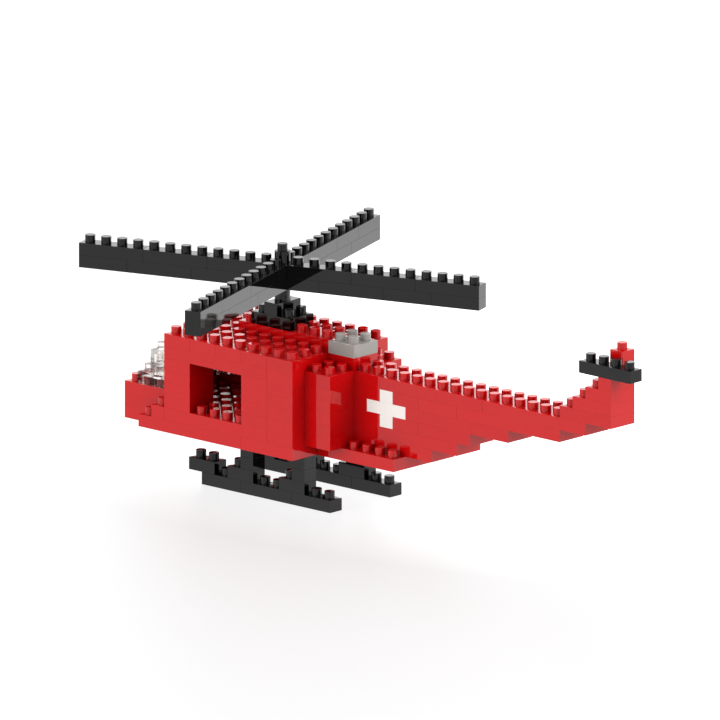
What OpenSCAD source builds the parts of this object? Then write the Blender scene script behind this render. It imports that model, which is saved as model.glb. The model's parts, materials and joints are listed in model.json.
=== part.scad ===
// Toy helicopter built from small clip-together bricks.
// The grid counts studs along x (towards the tail) and y (towards the starboard side), and brick layers
// along z. Grid zero is the front port corner of the cabin walls, at the bottom of the hull.

/* [Brick system] */
// Spacing between stud centres
pitch = 4; // [3.9:0.1:4.2]
// Height of one brick layer
layer_h = 2.905; // [2.9:0.005:3.2]
// Diameter of a stud
stud_d = 2.4; // [2.2:0.05:2.4]
// Height of a stud above its brick
stud_h = 1.7; // [1.4:0.1:1.7]
// Gap left on each side of a brick
side_gap = 0.02; // [0.02:0.01:0.06]
// Gap left above a brick
top_gap = 0.02; // [0.02:0.01:0.05]
// Clearance between a stud and the socket around it
stud_fit = 0.02; // [0.02:0.01:0.04]

/* [Rotor] */
// How far the rotor is turned from the tail line, in degrees
rotor_turn = 18.8; // [0:0.1:90]
// Gap under the rotor that lets it turn
turning_gap = 0.1; // [0.05:0.05:0.2]
// Diameter of the round mast and hub bricks
round_d = 3.7; // [3.5:0.05:3.8]

/* [Colours] */
// Colour of the hull bricks
hull_colour = "firebrick"; // [firebrick, crimson, darkred]
// Colour of the rotor and skid bricks
trim_colour = "#282828"; // [#282828, #404040]

/* [Hidden] */

white = "white";
exhaust_colour = "silver";
clear_colour = [0.85, 0.92, 0.95, 0.4];

round_facets = 48;
// The body of a brick stops just short of the next layer.
body_h = layer_h - top_gap;
// Sockets are a little deeper than a stud, under a solid top.
socket_depth = stud_h + 0.1;
// Distance from a grid line to the inner face of a brick's outer wall
wall_line = (pitch - stud_d) / 2 - stud_fit;
// The round posts under a two-wide brick fill the space between four studs.
post_d = sqrt(2) * pitch - stud_d - 2 * stud_fit;
// Studs are sunk into the top of their brick, so that the two are one solid.
stud_root = 0.4;

// The hull is symmetric about its middle, which is hull_w / 2 from the port side.
hull_w = 8;
cabin_l = 10;
mid_y = hull_w / 2;
// Layer of the lowest bricks, which are the skid rails
ground_layer = -4;
// Rotor axis and the layer that the rotor starts at
mast_x = 5.5;
rotor_layer = 12;
// Studs along each crossed blade pair, tip to tip
rotor_studs = 25;
// Lengths of the bricks in the layer of a blade pair that runs across the mast
through_bricks = [3, 4, 4, 4, 4, 3, 3];
// The tail rotor stands half a stud off the grid.
tail_rotor_x = 29.5;
tail_rotor_l = 4;

// The origin is the middle of the bottom of the bounding box.
blade_reach = (rotor_studs * pitch / 2 - side_gap) * cos(rotor_turn)
    + (pitch / 2 - side_gap) * sin(rotor_turn);
front_x = mast_x * pitch - blade_reach;
rear_x = (tail_rotor_x + tail_rotor_l) * pitch - side_gap;
origin_x = (front_x + rear_x) / 2;
origin_y = mid_y * pitch;
origin_z = ground_layer * layer_h;

// Puts the grid in the part's own frame.
module on_grid() {
    translate([-origin_x, -origin_y, -origin_z]) children();
}

// Puts the rotor's own grid, centred on the mast, in the part's frame.
module on_rotor() {
    on_grid() translate([mast_x * pitch, mid_y * pitch, 0]) rotate(rotor_turn) children();
}

// The space under a brick: open where studs go, with posts between them on a two-wide brick
module socket(nx, ny) {
    difference() {
        translate([wall_line, wall_line, -1])
            cube([nx * pitch - 2 * wall_line, ny * pitch - 2 * wall_line, socket_depth + 1]);
        if (nx > 1 && ny > 1)
            for (i = [1:nx - 1], j = [1:ny - 1])
                translate([i * pitch, j * pitch, -1.5])
                    cylinder(d = post_d, h = socket_depth + 2, $fn = round_facets);
    }
}

// One stud, standing on a brick whose bottom is at z = 0
module stud(height = body_h) {
    translate([0, 0, height - stud_root])
        cylinder(d = stud_d, h = stud_root + stud_h, $fn = round_facets);
}

// A brick nx by ny studs at a grid place
module brick(x, y, z, nx, ny) {
    translate([x * pitch, y * pitch, z * layer_h]) {
        difference() {
            translate([side_gap, side_gap, 0])
                cube([nx * pitch - 2 * side_gap, ny * pitch - 2 * side_gap, body_h]);
            socket(nx, ny);
        }
        for (i = [0:nx - 1], j = [0:ny - 1])
            translate([(i + 0.5) * pitch, (j + 0.5) * pitch, 0]) stud();
    }
}

// A round one-stud brick centred on a grid place
module round_brick(x, y, z, height = body_h) {
    translate([x * pitch, y * pitch, z * layer_h]) {
        difference() {
            cylinder(d = round_d, h = height, $fn = round_facets);
            translate([0, 0, -1])
                cylinder(d = stud_d + 2 * stud_fit, h = socket_depth + 1, $fn = round_facets);
        }
        stud(height);
    }
}

// Bricks of one layer, each given as [x, y, nx, ny]
module lay(z, bricks) {
    on_grid() for (b = bricks) brick(b[0], b[1], z, b[2], b[3]);
}

// The same brick on the other side of the hull
function mirrored(b) = [b[0], hull_w - b[1] - b[3], b[2], b[3]];

// Bricks of one layer on the port side, and their twins on the starboard side
module lay_both(z, bricks) {
    lay(z, bricks);
    lay(z, [for (b = bricks) mirrored(b)]);
}

// Start of each brick in a row, from the lengths of the bricks before it
function row_start(lengths, n) = n == 0 ? 0 : lengths[n - 1] + row_start(lengths, n - 1);

// A row of one-wide bricks out along +x of the rotor's grid, from start studs off the axis
module blade_row(z, start, lengths) {
    for (n = [0:len(lengths) - 1])
        brick(start + row_start(lengths, n), -0.5, z, lengths[n], 1);
}

// The same row on both sides of the mast
module blade_rows(z, start, lengths, turn = 0) {
    on_rotor() for (side = [0, 180]) rotate(turn + side) blade_row(z, start, lengths);
}

// A row that runs across the mast, from tip to tip, and holds both arms together
module blade_through(z, turn = 0) {
    on_rotor() rotate(turn) blade_row(z, -rotor_studs / 2, through_bricks);
}

// Skids
module skid_rails() {
    color(trim_colour) lay_both(ground_layer, [[2, 1, 3, 1], [5, 1, 4, 1], [9, 1, 3, 1]]);
}
module skid_shoes() {
    color(trim_colour) lay_both(ground_layer + 1, [[1, 1, 2, 1], [4, 1, 2, 1], [8, 1, 2, 1]]);
}
module strut_lower() {
    color(trim_colour) lay_both(ground_layer + 2, [[5, 1, 1, 1], [9, 1, 1, 1]]);
}
module strut_upper() {
    color(trim_colour) lay_both(ground_layer + 3, [[5, 1, 1, 1], [9, 1, 1, 1]]);
}

// Hull bottom, nose and floor
module hull_bottom() {
    color(hull_colour) {
        lay_both(0, [[-2, 0, 8, 2], [6, 0, 4, 2]]);
        lay(0, [for (x = [-2:2:6]) [x, 2, 2, 4]]);
    }
}
module nose_bottom() {
    color(hull_colour) lay_both(0, [[-4, 1, 2, 3]]);
}
module nose_middle() {
    color(hull_colour) lay_both(1, [[-4, 1, 3, 1], [-4, 2, 4, 2]]);
}
module nose_top() {
    color(hull_colour) lay_both(2, [[-4, 1, 4, 1], [-4, 2, 3, 2]]);
}
module cabin_floor() {
    color(hull_colour) {
        lay_both(1, [[-1, 0, 1, 2], [0, 0, 8, 2], [8, 0, 2, 2]]);
        lay_both(1, [for (x = [0:4:8]) [x, 2, min(4, cabin_l - x), 2]]);
    }
}
module belly_deck() {
    color(hull_colour) lay_both(0, [[8, 2, 8, 2]]);
}

// Windshield
module windshield_lower() {
    color(clear_colour) lay_both(3, [[-3, 1, 2, 3]]);
}
module windshield_middle() {
    color(clear_colour) lay(4, [[-2, 1, 2, 2], [-2, 3, 2, 4]]);
}
module windshield_upper() {
    color(clear_colour) lay_both(5, [[-2, 1, 2, 1], [-2, 2, 3, 2]]);
}

// Cabin walls
module front_pillars() {
    color(hull_colour) for (z = [2:5]) lay_both(z, [[0, 0, 2, 2]]);
}
module rear_pillars() {
    color(hull_colour) for (z = [2:5]) lay_both(z, [[6, 0, 2, 2]]);
}
module back_wall() {
    color(hull_colour) {
        for (z = [2, 4]) lay_both(z, [[8, 0, 2, 4]]);
        for (z = [3, 5]) lay_both(z, [[8, 0, 2, 3]]);
    }
}
module tie_bricks() {
    color(hull_colour) for (z = [3, 5]) lay(z, [[8, 3, 4, 2]]);
}
module engine_bay() {
    color(hull_colour) {
        for (z = [1, 2, 3, 4, 6]) lay_both(z, [[cabin_l, 1, 2, 2]]);
        lay_both(5, [[cabin_l, 1, 2, 1], [cabin_l, 2, 2, 1]]);
    }
}

// Roof and exhaust
module roof_lower() {
    color(hull_colour) {
        lay_both(6, [[0, 0, 8, 2], [8, 0, 2, 2]]);
        lay(6, [for (x = [0:2:8]) [x, 2, 2, 4]]);
    }
}
module roof_upper() {
    color(hull_colour) lay_both(7, [for (x = [0:2:8]) [x, 0, 2, 4]]);
}
module roof_ridge() {
    color(hull_colour) lay(8, [[3, 3, 3, 2], [6, 3, 4, 2]]);
}
module exhaust_seat() {
    color(hull_colour) lay(7, [[cabin_l, 3, 2, 2]]);
}
module exhaust() {
    color(exhaust_colour) lay(8, [[cabin_l, 3, 2, 2]]);
}

// Tail boom, where each layer ends further back than the one below
module boom_layer_1() {
    color(hull_colour) lay(1, [[10, 3, 8, 2]]);
}
module boom_layer_2() {
    color(hull_colour) lay(2, [[10, 3, 2, 2], [12, 3, 8, 2]]);
}
module boom_layer_3() {
    color(hull_colour) lay(3, [[12, 3, 2, 2], [15, 3, 2, 2], [17, 3, 4, 2]]);
}
module boom_layer_4() {
    color(hull_colour) lay(4, [[10, 3, 3, 2], [16, 3, 8, 2]]);
}
module boom_layer_5() {
    color(hull_colour) lay(5, [[12, 3, 2, 2], [15, 3, 2, 2], [17, 3, 3, 2], [20, 3, 8, 2]]);
}
module boom_layer_6() {
    color(hull_colour) lay(6, [[10, 3, 4, 2], [14, 3, 8, 2], [22, 3, 8, 2]]);
}
module cross_bricks() {
    color(white) {
        for (z = [3, 5]) lay(z, [[14, 3, 1, 2]]);
        lay(4, [[13, 3, 3, 2]]);
    }
}

// Tail fin and tail rotor
module fin_base() {
    color(hull_colour) lay(7, [[28, 3, 4, 2]]);
}
module fin_second() {
    color(hull_colour) lay(8, [[29, 3, 3, 2]]);
}
module fin_third() {
    color(hull_colour) lay(9, [[30, 3, 2, 2]]);
}
module fin_top() {
    color(hull_colour) lay(10, [[31, 3, 1, 2]]);
}
module fin_cap() {
    color(hull_colour) for (z = [11, 12]) lay(z, [[31, 4, 1, 1]]);
}
module tail_rotor() {
    color(trim_colour) lay(11, [[tail_rotor_x, 3, tail_rotor_l, 1]]);
}

// Mast
module mast_base() {
    color(trim_colour) lay(9, [[4, 3, 3, 2]]);
}
// A smooth-topped brick with one stud in the middle, which sets the mast half a stud off the grid
module mast_jumper() {
    color(trim_colour) on_grid() translate([5 * pitch, 3 * pitch, 10 * layer_h]) {
        difference() {
            translate([side_gap, side_gap, 0])
                cube([pitch - 2 * side_gap, 2 * pitch - 2 * side_gap, body_h]);
            socket(1, 2);
        }
        translate([pitch / 2, pitch, 0]) stud();
    }
}
module mast_post() {
    color(trim_colour) on_grid() round_brick(mast_x, mid_y, 11, layer_h - turning_gap);
}

// Rotor: two crossed blade pairs, each two layers thick. The seams of one layer lie over the bricks of
// the other.
module long_blade_lower() {
    color(trim_colour) blade_through(rotor_layer);
}
module long_blade_upper() {
    color(trim_colour) blade_rows(rotor_layer + 1, 0.5, [4, 4, 4]);
}
module cross_blade_lower() {
    color(trim_colour) blade_rows(rotor_layer, 0.5, [4, 4, 4], 90);
}
module cross_blade_upper() {
    color(trim_colour) blade_through(rotor_layer + 1, 90);
}
module hub_cap() {
    color(trim_colour) on_grid() round_brick(mast_x, mid_y, rotor_layer + 2);
}

skid_rails();
skid_shoes();
strut_lower();
strut_upper();
hull_bottom();
nose_bottom();
nose_middle();
nose_top();
cabin_floor();
belly_deck();
windshield_lower();
windshield_middle();
windshield_upper();
front_pillars();
rear_pillars();
back_wall();
tie_bricks();
engine_bay();
roof_lower();
roof_upper();
roof_ridge();
exhaust_seat();
exhaust();
boom_layer_1();
boom_layer_2();
boom_layer_3();
boom_layer_4();
boom_layer_5();
boom_layer_6();
cross_bricks();
fin_base();
fin_second();
fin_third();
fin_top();
fin_cap();
tail_rotor();
mast_base();
mast_jumper();
mast_post();
long_blade_lower();
long_blade_upper();
cross_blade_lower();
cross_blade_upper();
hub_cap();
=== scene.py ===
"""Toy helicopter of small clip-together bricks, standing on a pale studio floor.

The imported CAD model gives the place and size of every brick. Each CAD node is replaced by one piece
that holds the same bricks with moulded detail: rounded edges, studs, sockets and posts.
"""
import functools
import json
import math
import random

import bmesh
import bpy
import numpy as np
from mathutils import Matrix, Vector


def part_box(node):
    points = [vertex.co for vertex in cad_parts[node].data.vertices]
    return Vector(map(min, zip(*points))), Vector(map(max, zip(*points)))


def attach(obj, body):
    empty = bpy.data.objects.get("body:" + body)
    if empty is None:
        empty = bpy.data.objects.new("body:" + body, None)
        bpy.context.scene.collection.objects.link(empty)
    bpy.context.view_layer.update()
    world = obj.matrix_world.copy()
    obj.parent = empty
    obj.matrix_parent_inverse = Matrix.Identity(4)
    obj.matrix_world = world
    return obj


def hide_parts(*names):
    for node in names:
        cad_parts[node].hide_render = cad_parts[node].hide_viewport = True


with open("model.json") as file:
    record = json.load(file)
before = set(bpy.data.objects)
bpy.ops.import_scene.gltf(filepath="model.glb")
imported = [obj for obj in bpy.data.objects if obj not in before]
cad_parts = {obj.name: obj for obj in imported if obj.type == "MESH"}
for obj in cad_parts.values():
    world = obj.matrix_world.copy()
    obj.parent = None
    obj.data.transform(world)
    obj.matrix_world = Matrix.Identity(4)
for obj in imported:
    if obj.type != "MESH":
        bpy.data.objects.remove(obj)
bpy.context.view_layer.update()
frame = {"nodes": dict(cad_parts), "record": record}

# Brick system, in millimetres as in the CAD model
MM = 0.001
PITCH = 4.0
LAYER = 2.905
STUD_R = 2.4 / 2
STUD_H = 1.7
SIDE_GAP = 0.02
TOP_GAP = 0.02
STUD_FIT = 0.02
STUD_HEADROOM = 0.1
ROUND_R = 3.7 / 2
BRICK_H = LAYER - TOP_GAP + STUD_H
SOCKET_DEPTH = STUD_H + STUD_HEADROOM
WALL = PITCH / 2 - STUD_R - STUD_FIT
POST_R = math.sqrt(2) * PITCH / 2 - STUD_R - STUD_FIT
ROTOR_TURN = math.radians(18.8)

# Moulded finish. Black bricks keep the CAD's seam between layers. It is nearly closed on the others,
# because the photo shows it clearly on black only.
SEAM, EDGE_R = 0.005, 0.015
BLACK_SEAM, BLACK_EDGE_R = TOP_GAP, 0.02
STUD_EDGE_R = 0.06
BEVEL_STEPS = 2
SIDE_STEPS = 6
ROUND_STEPS = 4 * SIDE_STEPS
SHARP = math.radians(50)
NEAR = 1e-3

ROTOR_NODES = ("long_blade_lower", "long_blade_upper", "cross_blade_lower", "cross_blade_upper")
ROUND_NODES = ("mast_post", "hub_cap")
JUMPER_NODE = "mast_jumper"

# Clear bricks that cast no shadow, so that the red bricks around them stay lit
LIT_THROUGH = ("windshield_lower",)

BODY_OF = {n: b for b, ns in frame["record"]["behaviour"]["bodies"].items() for n in ns}
SLOT_OF = {s["node"]: s["material_slot"] for s in frame["record"]["subparts"]}


# ---------------------------------------------------------------- brick meshes

class Shell:
    """A closed brick mesh that grows face by face, where corners at one place are shared."""

    def __init__(self):
        self.bm = bmesh.new()
        self.corners = {}

    def corner(self, x, y, z):
        key = (round(x, 4), round(y, 4), round(z, 4))
        if key not in self.corners:
            self.corners[key] = self.bm.verts.new(key)
        return self.corners[key]

    def face(self, points, flip=False):
        corners = [self.corner(*p) for p in points]
        self.bm.faces.new(corners[::-1] if flip else corners)

    def band(self, low, high, flip=False):
        """Quads between two loops of points, facing outwards when both run anticlockwise."""
        n = len(low)
        for k in range(n):
            self.face((low[k], low[(k + 1) % n], high[(k + 1) % n], high[k]), flip)

    def sides(self, x0, x1, y0, y1, low_z, high_z, flip=False):
        """Four upright faces between two heights, with every corner that already lies on their edges."""
        inside = [p for p in self.corners
                  if x0 - NEAR <= p[0] <= x1 + NEAR and y0 - NEAR <= p[1] <= y1 + NEAR]
        for across, place, sign in ((1, y0, 1), (0, x1, 1), (1, y1, -1), (0, x0, -1)):
            side = [p for p in inside if abs(p[across] - place) < NEAR]
            side.sort(key=lambda p: sign * p[1 - across])
            low = [p for p in side if abs(p[2] - low_z) < NEAR]
            high = [p for p in side if abs(p[2] - high_z) < NEAR]
            self.face(low + high[::-1], flip)


def circle(cx, cy, z, r):
    """Anticlockwise points of a circle, from the low corner's direction round."""
    turns = [math.radians(225) + math.tau * k / ROUND_STEPS for k in range(ROUND_STEPS)]
    return [(cx + r * math.cos(t), cy + r * math.sin(t), z) for t in turns]


def outline(x0, x1, y0, y1, z, steps=1):
    """Anticlockwise points of a rectangle with every side cut into equal steps."""
    corners = [(x0, y0), (x1, y0), (x1, y1), (x0, y1)]
    points = []
    for (ax, ay), (bx, by) in zip(corners, corners[1:] + corners[:1]):
        for k in range(steps):
            t = k / steps
            points.append((ax + (bx - ax) * t, ay + (by - ay) * t, z))
    return points


def brick_shell(nx, ny, stud_cells, seam):
    """A brick nx by ny studs. stud_cells gives the part of the top that surrounds each stud."""
    shell = Shell()
    body_h = LAYER - seam
    x0, x1 = SIDE_GAP, nx * PITCH - SIDE_GAP
    y0, y1 = SIDE_GAP, ny * PITCH - SIDE_GAP
    for cx0, cx1, cy0, cy1 in stud_cells:
        cx, cy = (cx0 + cx1) / 2, (cy0 + cy1) / 2
        rim = outline(max(cx0, x0), min(cx1, x1), max(cy0, y0), min(cy1, y1), body_h, SIDE_STEPS)
        foot = circle(cx, cy, body_h, STUD_R)
        top = circle(cx, cy, BRICK_H, STUD_R)
        shell.band(rim, foot)
        shell.band(foot, top)
        shell.face(top)
    for corner in outline(x0, x1, y0, y1, 0):
        shell.corner(*corner)
    shell.sides(x0, x1, y0, y1, 0, body_h)
    socket_faces(shell, nx, ny)
    mouth = outline(WALL, nx * PITCH - WALL, WALL, ny * PITCH - WALL, 0)
    shell.band(outline(x0, x1, y0, y1, 0), mouth, flip=True)
    return shell


def socket_faces(shell, nx, ny):
    """The ceiling and walls of the space under a brick, with posts down the middle of a two-wide one."""
    x0, x1, y0, y1 = WALL, nx * PITCH - WALL, WALL, ny * PITCH - WALL

    def share(post, low, high, count):
        """The stretch of ceiling that surrounds a post, which runs on to the wall at either end."""
        start = low if post == PITCH else post - PITCH / 2
        end = high if post == (count - 1) * PITCH else post + PITCH / 2
        return start, end

    posts = [(i * PITCH, j * PITCH) for i in range(1, nx) for j in range(1, ny)]
    for px, py in posts:
        ceiling = outline(*share(px, x0, x1, nx), *share(py, y0, y1, ny), SOCKET_DEPTH, SIDE_STEPS)
        root = circle(px, py, SOCKET_DEPTH, POST_R)
        foot = circle(px, py, 0, POST_R)
        shell.band(ceiling, root, flip=True)
        shell.band(foot, root)
        shell.face(foot, flip=True)
    for corner in outline(x0, x1, y0, y1, 0) + outline(x0, x1, y0, y1, SOCKET_DEPTH):
        shell.corner(*corner)
    if not posts:
        shell.face(outline(x0, x1, y0, y1, SOCKET_DEPTH), flip=True)
    shell.sides(x0, x1, y0, y1, 0, SOCKET_DEPTH, flip=True)


def round_shell(height):
    """A round one-stud brick centred on the origin, as rings of corners from the socket out and up."""
    shell = Shell()
    bore = STUD_R + STUD_FIT
    shoulder = height - STUD_H
    profile = ((SOCKET_DEPTH, bore), (0, bore), (0, ROUND_R), (shoulder, ROUND_R), (shoulder, STUD_R),
               (height, STUD_R))
    rings = [circle(0, 0, z, r) for z, r in profile]
    shell.face(rings[0], flip=True)
    for low, high in zip(rings, rings[1:]):
        shell.band(low, high)
    shell.face(rings[-1])
    return shell


def mould(shell, name, edge_r, is_round=False):
    """Rounds a brick's outer edges, marks the rounded faces, and returns the mesh in metres."""
    bm = shell.bm
    bmesh.ops.recalc_face_normals(bm, faces=bm.faces)
    edge_mark = bm.faces.layers.float.new("edge")
    high = max(v.co.z for v in bm.verts)
    low_x, high_x = min(v.co.x for v in bm.verts), max(v.co.x for v in bm.verts)
    low_y, high_y = min(v.co.y for v in bm.verts), max(v.co.y for v in bm.verts)

    def on_top(p):
        return p.z > high - NEAR

    def outside(p):
        if is_round:
            return math.hypot(p.x, p.y) > ROUND_R - NEAR
        return min(p.x - low_x, high_x - p.x, p.y - low_y, high_y - p.y) < NEAR

    for chosen, radius in ((on_top, STUD_EDGE_R), (outside, edge_r)):
        edges = [e for e in bm.edges if e.is_manifold and e.is_convex and e.calc_face_angle() > SHARP
                 and all(chosen(v.co) for v in e.verts)]
        done = bmesh.ops.bevel(bm, geom=edges, offset=radius, offset_type="OFFSET", segments=BEVEL_STEPS,
                               profile=0.5, affect="EDGES", clamp_overlap=True, loop_slide=True)
        for f in done["faces"]:
            f[edge_mark] = 1.0
    for f in bm.faces:
        f.smooth = True
    for e in bm.edges:
        e.smooth = e.calc_face_angle(0.0) < SHARP
    bmesh.ops.scale(bm, vec=(MM, MM, MM), verts=bm.verts)
    mesh = bpy.data.meshes.new(name)
    bm.to_mesh(mesh)
    bm.free()
    return mesh


@functools.cache
def brick_mesh(nx, ny, seam, edge_r):
    """A plain brick."""
    cells = [(i * PITCH, (i + 1) * PITCH, j * PITCH, (j + 1) * PITCH) for i in range(nx) for j in range(ny)]
    return mould(brick_shell(nx, ny, cells, seam), f"brick_{nx}x{ny}", edge_r)


@functools.cache
def jumper_mesh():
    """A smooth-topped 1x2 brick with one stud in the middle."""
    return mould(brick_shell(1, 2, [(0, PITCH, 0, 2 * PITCH)], BLACK_SEAM), "jumper", BLACK_EDGE_R)


@functools.cache
def round_mesh(height):
    """A round one-stud brick of the given height, stud included."""
    return mould(round_shell(height), "round", BLACK_EDGE_R, is_round=True)


# ---------------------------------------------------------------- finding the bricks in the CAD nodes

MICRONS_IN_METRE = 1e6


def brick_boxes(node, to_grid):
    """(lowest corner, size) of each separate solid in a CAD node, in millimetres, in the given frame."""
    mesh = frame["nodes"][node].data
    points = np.empty(len(mesh.vertices) * 3)
    mesh.vertices.foreach_get("co", points)
    points = points.reshape(-1, 3)
    edges = np.empty(len(mesh.edges) * 2, dtype=int)
    mesh.edges.foreach_get("vertices", edges)
    edges = edges.reshape(-1, 2)
    # Vertices at one place count as one, and each takes the lowest label that its edges lead to
    _, same = np.unique(np.round(points * MICRONS_IN_METRE).astype(int), axis=0, return_inverse=True)
    same = same.reshape(-1)
    a, b = same[edges[:, 0]], same[edges[:, 1]]
    label = np.arange(same.max() + 1)
    while (label[a] != label[b]).any():
        low = np.minimum(label[a], label[b])
        np.minimum.at(label, a, low)
        np.minimum.at(label, b, low)
        label = label[label]
    placed = (np.c_[points, np.ones(len(points))] @ np.array(to_grid).T)[:, :3] / MM
    boxes = []
    for island in np.unique(label[same]):
        own = placed[label[same] == island]
        boxes.append((own.min(axis=0), own.max(axis=0) - own.min(axis=0)))
    return sorted(boxes, key=lambda box: tuple(np.round(box[0], 2)))


hub_low, hub_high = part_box("hub_cap")
hub_centre = Vector(((hub_low[0] + hub_high[0]) / 2, (hub_low[1] + hub_high[1]) / 2, 0))
rotor_frame = Matrix.Translation(hub_centre) @ Matrix.Rotation(ROTOR_TURN, 4, "Z")


def placed_bricks(node):
    """(mesh, matrix) for each brick of a node."""
    grid = rotor_frame if node in ROTOR_NODES else Matrix.Identity(4)
    black = SLOT_OF[node] == "black_bricks"
    finish = (BLACK_SEAM, BLACK_EDGE_R) if black else (SEAM, EDGE_R)
    bricks = []
    for low, size in brick_boxes(node, grid.inverted()):
        if node in ROUND_NODES:
            centre = low + size / 2
            place = (centre[0], centre[1], low[2])
            mesh = round_mesh(size[2])
        else:
            place = (low[0] - SIDE_GAP, low[1] - SIDE_GAP, low[2])
            nx, ny = (round((s + 2 * SIDE_GAP) / PITCH) for s in size[:2])
            mesh = jumper_mesh() if node == JUMPER_NODE else brick_mesh(nx, ny, *finish)
        bricks.append((mesh, grid @ Matrix.Translation(Vector(place) * MM)))
    return bricks


# ---------------------------------------------------------------- materials

# The moulded surface: scales of its noises, and how strongly each one shows
FLOW_SCALE = 260.0
FLOW_SHARE = 0.6
SCUFF_SCALE = 2600.0
SCUFF_STRETCH = (1.0, 1.0, 6.0)
SCUFF_BUMP = 0.25
SMOOTHEST, ROUGHEST = 0.75, 1.5
SKIN_SCALE = 900.0
SKIN_STRENGTH = 0.04
SKIN_DEPTH = 0.05 * MM
EDGE_DULLNESS = 0.05
TONE_SKEW = 3.7
USUAL_NOISE = {"from_low": 0.3, "from_high": 0.7}

# Clear plastic
CLEAR_TINTS = (0.84, 0.82, 0.80, 1), (0.90, 0.88, 0.86, 1)
CLEAR_FLOW_SCALE = 420.0
CLEAR_HAZE_SCALE = 1800.0
CLEAR_ROUGHNESS = 0.015, 0.05
CLEAR_STRENGTH = 0.1
CLEAR_DEPTH = 0.1 * MM
CLEAR_IOR = 1.2
CLEAR_ALPHA = 0.8

# The floor glows evenly, like a light table, and more strongly in a painted pool of light around one spot.
# Distances are in metres.
TABLE_TINTS = (0.12, 0.12, 0.12, 1), (0.14, 0.14, 0.14, 1)
TABLE_MOTTLE_SCALE = 40.0
TABLE_ROUGHNESS = 0.45, 0.5
TABLE_GLOW = 0.66
PAINTED_POOL_GLOW = 1.75
PAINTED_POOL_AT = (-0.012, 0.197, 0.0)
PAINTED_POOL_R = 0.04
PAINTED_POOL_FADES_AT = 0.24
WHITE = (1, 1, 1, 1)


class Nodes:
    """Short forms for building a node tree."""

    def __init__(self, name):
        self.material = bpy.data.materials.new(name)
        self.material.use_nodes = True
        self.tree = self.material.node_tree
        self.shader = self.tree.nodes["Principled BSDF"]

    def add(self, kind, inputs=(), **settings):
        node = self.tree.nodes.new(kind)
        for key, value in settings.items():
            setattr(node, key, value)
        for socket, value in dict(inputs).items():
            if isinstance(value, bpy.types.NodeSocket):
                self.tree.links.new(value, node.inputs[socket])
            else:
                node.inputs[socket].default_value = value
        return node

    def link(self, output, socket):
        self.tree.links.new(output, self.shader.inputs[socket])

    def set(self, socket, value):
        self.shader.inputs[socket].default_value = value

    def noise(self, coords, scale, detail, roughness=0.5):
        return self.add("ShaderNodeTexNoise", {"Vector": coords, "Scale": scale, "Detail": detail,
                                               "Roughness": roughness}).outputs["Fac"]

    def span(self, value, low, high, from_low=0.0, from_high=1.0):
        return self.add("ShaderNodeMapRange", {"Value": value, "From Min": from_low, "From Max": from_high,
                                               "To Min": low, "To Max": high}).outputs["Result"]

    def blend(self, factor, colours):
        return self.add("ShaderNodeMix", {"Factor": factor, "A": colours[0], "B": colours[1]},
                        data_type="RGBA").outputs["Result"]

    def maths(self, operation, a, b):
        return self.add("ShaderNodeMath", {0: a, 1: b}, operation=operation).outputs["Value"]

    def vector(self, operation, a, b, output="Vector"):
        return self.add("ShaderNodeVectorMath", {0: a, 1: b}, operation=operation).outputs[output]

    def bump(self, height, strength, depth):
        node = self.add("ShaderNodeBump", {"Height": height, "Strength": strength, "Distance": depth})
        self.link(node.outputs["Normal"], "Normal")

    def place(self):
        return self.add("ShaderNodeTexCoord").outputs["Object"]

    def attribute(self, name):
        return self.add("ShaderNodeAttribute", attribute_name=name).outputs["Fac"]

    def brick_coords(self):
        """Object coordinates shifted by each brick's own tone, so that no two bricks show the same marks."""
        tone = self.attribute("tone")
        shift = self.add("ShaderNodeCombineXYZ", {"X": tone, "Y": self.maths("MULTIPLY", tone, TONE_SKEW)})
        return self.vector("ADD", self.place(), shift.outputs["Vector"]), tone


def moulded_plastic(name, colour, tone_spread, roughness, edge_light, ior=1.45):
    """Glossy moulded plastic: each brick's own tone, flow marks, fine scuffs and duller, paler edges."""
    n = Nodes(name)
    coords, tone = n.brick_coords()
    edge = n.attribute("edge")
    flow = n.noise(coords, FLOW_SCALE, detail=2.0)
    scuffs = n.noise(n.vector("MULTIPLY", coords, SCUFF_STRETCH), SCUFF_SCALE, detail=4.0, roughness=0.65)
    marks = n.span(flow, -tone_spread * FLOW_SHARE, tone_spread * FLOW_SHARE, **USUAL_NOISE)
    shade = n.maths("ADD", n.span(tone, 1 - tone_spread, 1 + tone_spread), marks)
    lit = n.maths("ADD", shade, n.maths("MULTIPLY", edge, edge_light))
    base = n.add("ShaderNodeVectorMath", {0: colour, "Scale": lit}, operation="SCALE")
    n.link(base.outputs["Vector"], "Base Color")
    worn = n.span(scuffs, roughness * SMOOTHEST, roughness * ROUGHEST, from_low=0.35, from_high=0.7)
    n.link(n.maths("ADD", worn, n.maths("MULTIPLY", edge, EDGE_DULLNESS)), "Roughness")
    skin = n.maths("ADD", n.noise(coords, SKIN_SCALE, detail=2.0), n.maths("MULTIPLY", scuffs, SCUFF_BUMP))
    n.bump(skin, SKIN_STRENGTH, SKIN_DEPTH)
    n.set("IOR", ior)
    return n.material


def clear_plastic(name):
    """Clear uncoloured plastic with faint flow lines and a light haze."""
    n = Nodes(name)
    coords, _ = n.brick_coords()
    haze = n.noise(coords, CLEAR_HAZE_SCALE, detail=4.0, roughness=0.6)
    n.link(n.blend(haze, CLEAR_TINTS), "Base Color")
    n.link(n.span(haze, *CLEAR_ROUGHNESS, **USUAL_NOISE), "Roughness")
    n.bump(n.noise(coords, CLEAR_FLOW_SCALE, detail=2.0), CLEAR_STRENGTH, CLEAR_DEPTH)
    n.set("Transmission Weight", 1.0)
    n.set("IOR", CLEAR_IOR)
    n.set("Alpha", CLEAR_ALPHA)
    return n.material


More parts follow.
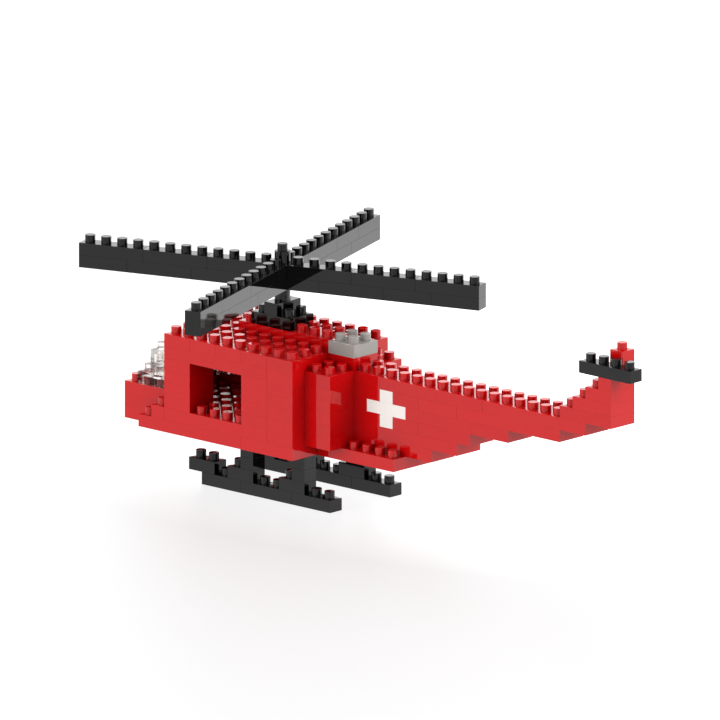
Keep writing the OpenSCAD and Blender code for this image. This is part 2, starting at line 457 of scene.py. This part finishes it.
def floor_paint():
    """Satin white floor that glows evenly, with a faint mottle and a painted pool of light: a brighter
    glowing spot that the rotor's side mirrors.
    """
    n = Nodes("studio_floor")
    place = n.place()
    mottle = n.noise(place, TABLE_MOTTLE_SCALE, detail=4.0)
    away = n.vector("DISTANCE", place, PAINTED_POOL_AT, output="Value")
    n.link(n.blend(mottle, TABLE_TINTS), "Base Color")
    n.link(n.span(mottle, *TABLE_ROUGHNESS), "Roughness")
    n.set("Emission Color", WHITE)
    # Painted pool of light: the floor's emission is stronger near one spot, so the rotor's side mirrors a
    # bright patch there
    n.link(n.span(away, PAINTED_POOL_GLOW, TABLE_GLOW, PAINTED_POOL_R, PAINTED_POOL_FADES_AT), "Emission Strength")
    return n.material


MATERIALS = {
    "red_bricks": moulded_plastic("red_abs", (0.59, 0.002, 0.003), tone_spread=0.02, roughness=0.03,
                                  edge_light=0.04),
    "black_bricks": moulded_plastic("black_abs", (0.001, 0.001, 0.0012), tone_spread=0.15, roughness=0.03,
                                    edge_light=0.5, ior=1.42),
    "white_bricks": moulded_plastic("white_abs", (0.95, 0.865, 0.82), tone_spread=0.01, roughness=0.05,
                                    edge_light=0.02),
    "grey_bricks": moulded_plastic("light_grey_abs", (0.37, 0.335, 0.315), tone_spread=0.01, roughness=0.05,
                                   edge_light=0.03),
    "clear_bricks": clear_plastic("clear_plastic"),
}


# ---------------------------------------------------------------- pieces

def tone_of(node, index):
    """A steady random tone from 0 to 1 for each brick."""
    return random.Random(f"{node} {index}").random()


def build_piece(node):
    """One piece with every brick of a CAD node, which it replaces."""
    bm = bmesh.new()
    tone = bm.verts.layers.float.new("tone")
    bm.faces.layers.float.new("edge")
    for index, (mesh, matrix) in enumerate(placed_bricks(node)):
        start = len(bm.verts)
        bm.from_mesh(mesh)
        bm.verts.ensure_lookup_table()
        own = bm.verts[start:]
        bmesh.ops.transform(bm, matrix=matrix, verts=own)
        value = tone_of(node, index)
        for v in own:
            v[tone] = value
    mesh = bpy.data.meshes.new(f"{node}_bricks")
    bm.to_mesh(mesh)
    bm.free()
    piece = bpy.data.objects.new(f"{node}_bricks", mesh)
    bpy.context.scene.collection.objects.link(piece)
    mesh.materials.append(MATERIALS[SLOT_OF[node]])
    even = piece.modifiers.new("even_normals", "WEIGHTED_NORMAL")
    even.keep_sharp = True
    piece.visible_shadow = node not in LIT_THROUGH
    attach(piece, BODY_OF[node])
    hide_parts(node)


for name in frame["nodes"]:
    build_piece(name)


# ---------------------------------------------------------------- studio

# The view: an orthographic camera that looks from behind the port side, a little from above.
# Angles are in degrees, with 0 to port and 90 towards the tail, and lengths in metres.
AZIMUTH = 42.987
ELEVATION = 14.094
AIM = Vector((-0.00786, 0.0, 0.0335))
VIEW_WIDTH = 0.16407
CAMERA_DISTANCE = 0.6

# The floor lies just below the skids, so that the two don't share a plane
FLOOR_HALF_SIZE = 4.0
FLOOR_DROP = 0.02 * MM

SOFTBOX_DISTANCE = 1.2
SOFTBOX_SIZE = 0.8

# The surround's strength, and its strength behind the toy. One fades into the other between two limits,
# which are cosines of the angle to the way the camera looks.
SURROUND_LEVEL = 1.02
BEHIND_LEVEL = 1.78
BEHIND_FROM = 0.3
BEHIND_FULL = 0.95


def aim_at_toy(thing, azimuth, elevation, distance):
    """Stands a camera or a light in the given direction from the toy, looking at it."""
    a, e = math.radians(azimuth), math.radians(elevation)
    back = Vector((math.sin(a) * math.cos(e), -math.cos(a) * math.cos(e), math.sin(e)))
    thing.location = AIM + back * distance
    thing.rotation_mode = "QUATERNION"
    thing.rotation_quaternion = (-back).to_track_quat("-Z", "Y")
    bpy.context.scene.collection.objects.link(thing)


def add_camera():
    data = bpy.data.cameras.new("camera")
    data.type = "ORTHO"
    data.ortho_scale = VIEW_WIDTH
    data.clip_start, data.clip_end = 0.01, 20
    camera = bpy.data.objects.new("camera", data)
    aim_at_toy(camera, AZIMUTH, ELEVATION, CAMERA_DISTANCE)
    bpy.context.scene.camera = camera


def add_floor():
    bm = bmesh.new()
    bmesh.ops.create_grid(bm, x_segments=8, y_segments=8, size=FLOOR_HALF_SIZE)
    mesh = bpy.data.meshes.new("floor")
    bm.to_mesh(mesh)
    bm.free()
    floor = bpy.data.objects.new("floor", mesh)
    floor.location.z = -FLOOR_DROP
    mesh.materials.append(floor_paint())
    bpy.context.scene.collection.objects.link(floor)


def add_softbox(name, azimuth, elevation, power):
    """A square area light that looks at the toy from the given direction."""
    data = bpy.data.lights.new(name, "AREA")
    data.shape = "SQUARE"
    data.size = SOFTBOX_SIZE
    data.energy = power
    aim_at_toy(bpy.data.objects.new(name, data), azimuth, elevation, SOFTBOX_DISTANCE)


def add_surround():
    """An even white surround with a brighter part behind the toy."""
    world = bpy.data.worlds.new("surround")
    world.use_nodes = True
    tree = world.node_tree
    direction = tree.nodes.new("ShaderNodeTexCoord").outputs["Generated"]
    away = tree.nodes.new("ShaderNodeVectorMath")
    away.operation = "DOT_PRODUCT"
    turn = math.radians(AZIMUTH)
    away.inputs[1].default_value = (-math.sin(turn), math.cos(turn), 0)
    lobe = tree.nodes.new("ShaderNodeMapRange")
    lobe.interpolation_type = "SMOOTHSTEP"
    lobe.inputs["From Min"].default_value = BEHIND_FROM
    lobe.inputs["From Max"].default_value = BEHIND_FULL
    lobe.inputs["To Min"].default_value = SURROUND_LEVEL
    lobe.inputs["To Max"].default_value = BEHIND_LEVEL
    background = tree.nodes["Background"]
    background.inputs["Color"].default_value = WHITE
    tree.links.new(direction, away.inputs[0])
    tree.links.new(away.outputs["Value"], lobe.inputs["Value"])
    tree.links.new(lobe.outputs["Result"], background.inputs["Strength"])
    bpy.context.scene.world = world


add_camera()
add_floor()
add_surround()
add_softbox("rear_softbox", azimuth=108, elevation=30, power=6.0)
add_softbox("port_softbox", azimuth=-20, elevation=18, power=4.0)
bpy.context.scene.view_settings.view_transform = "Standard"

# The photo's recesses and cabin are nearly black, so no diffuse light passes from brick to brick
bpy.context.scene.cycles.diffuse_bounces = 0
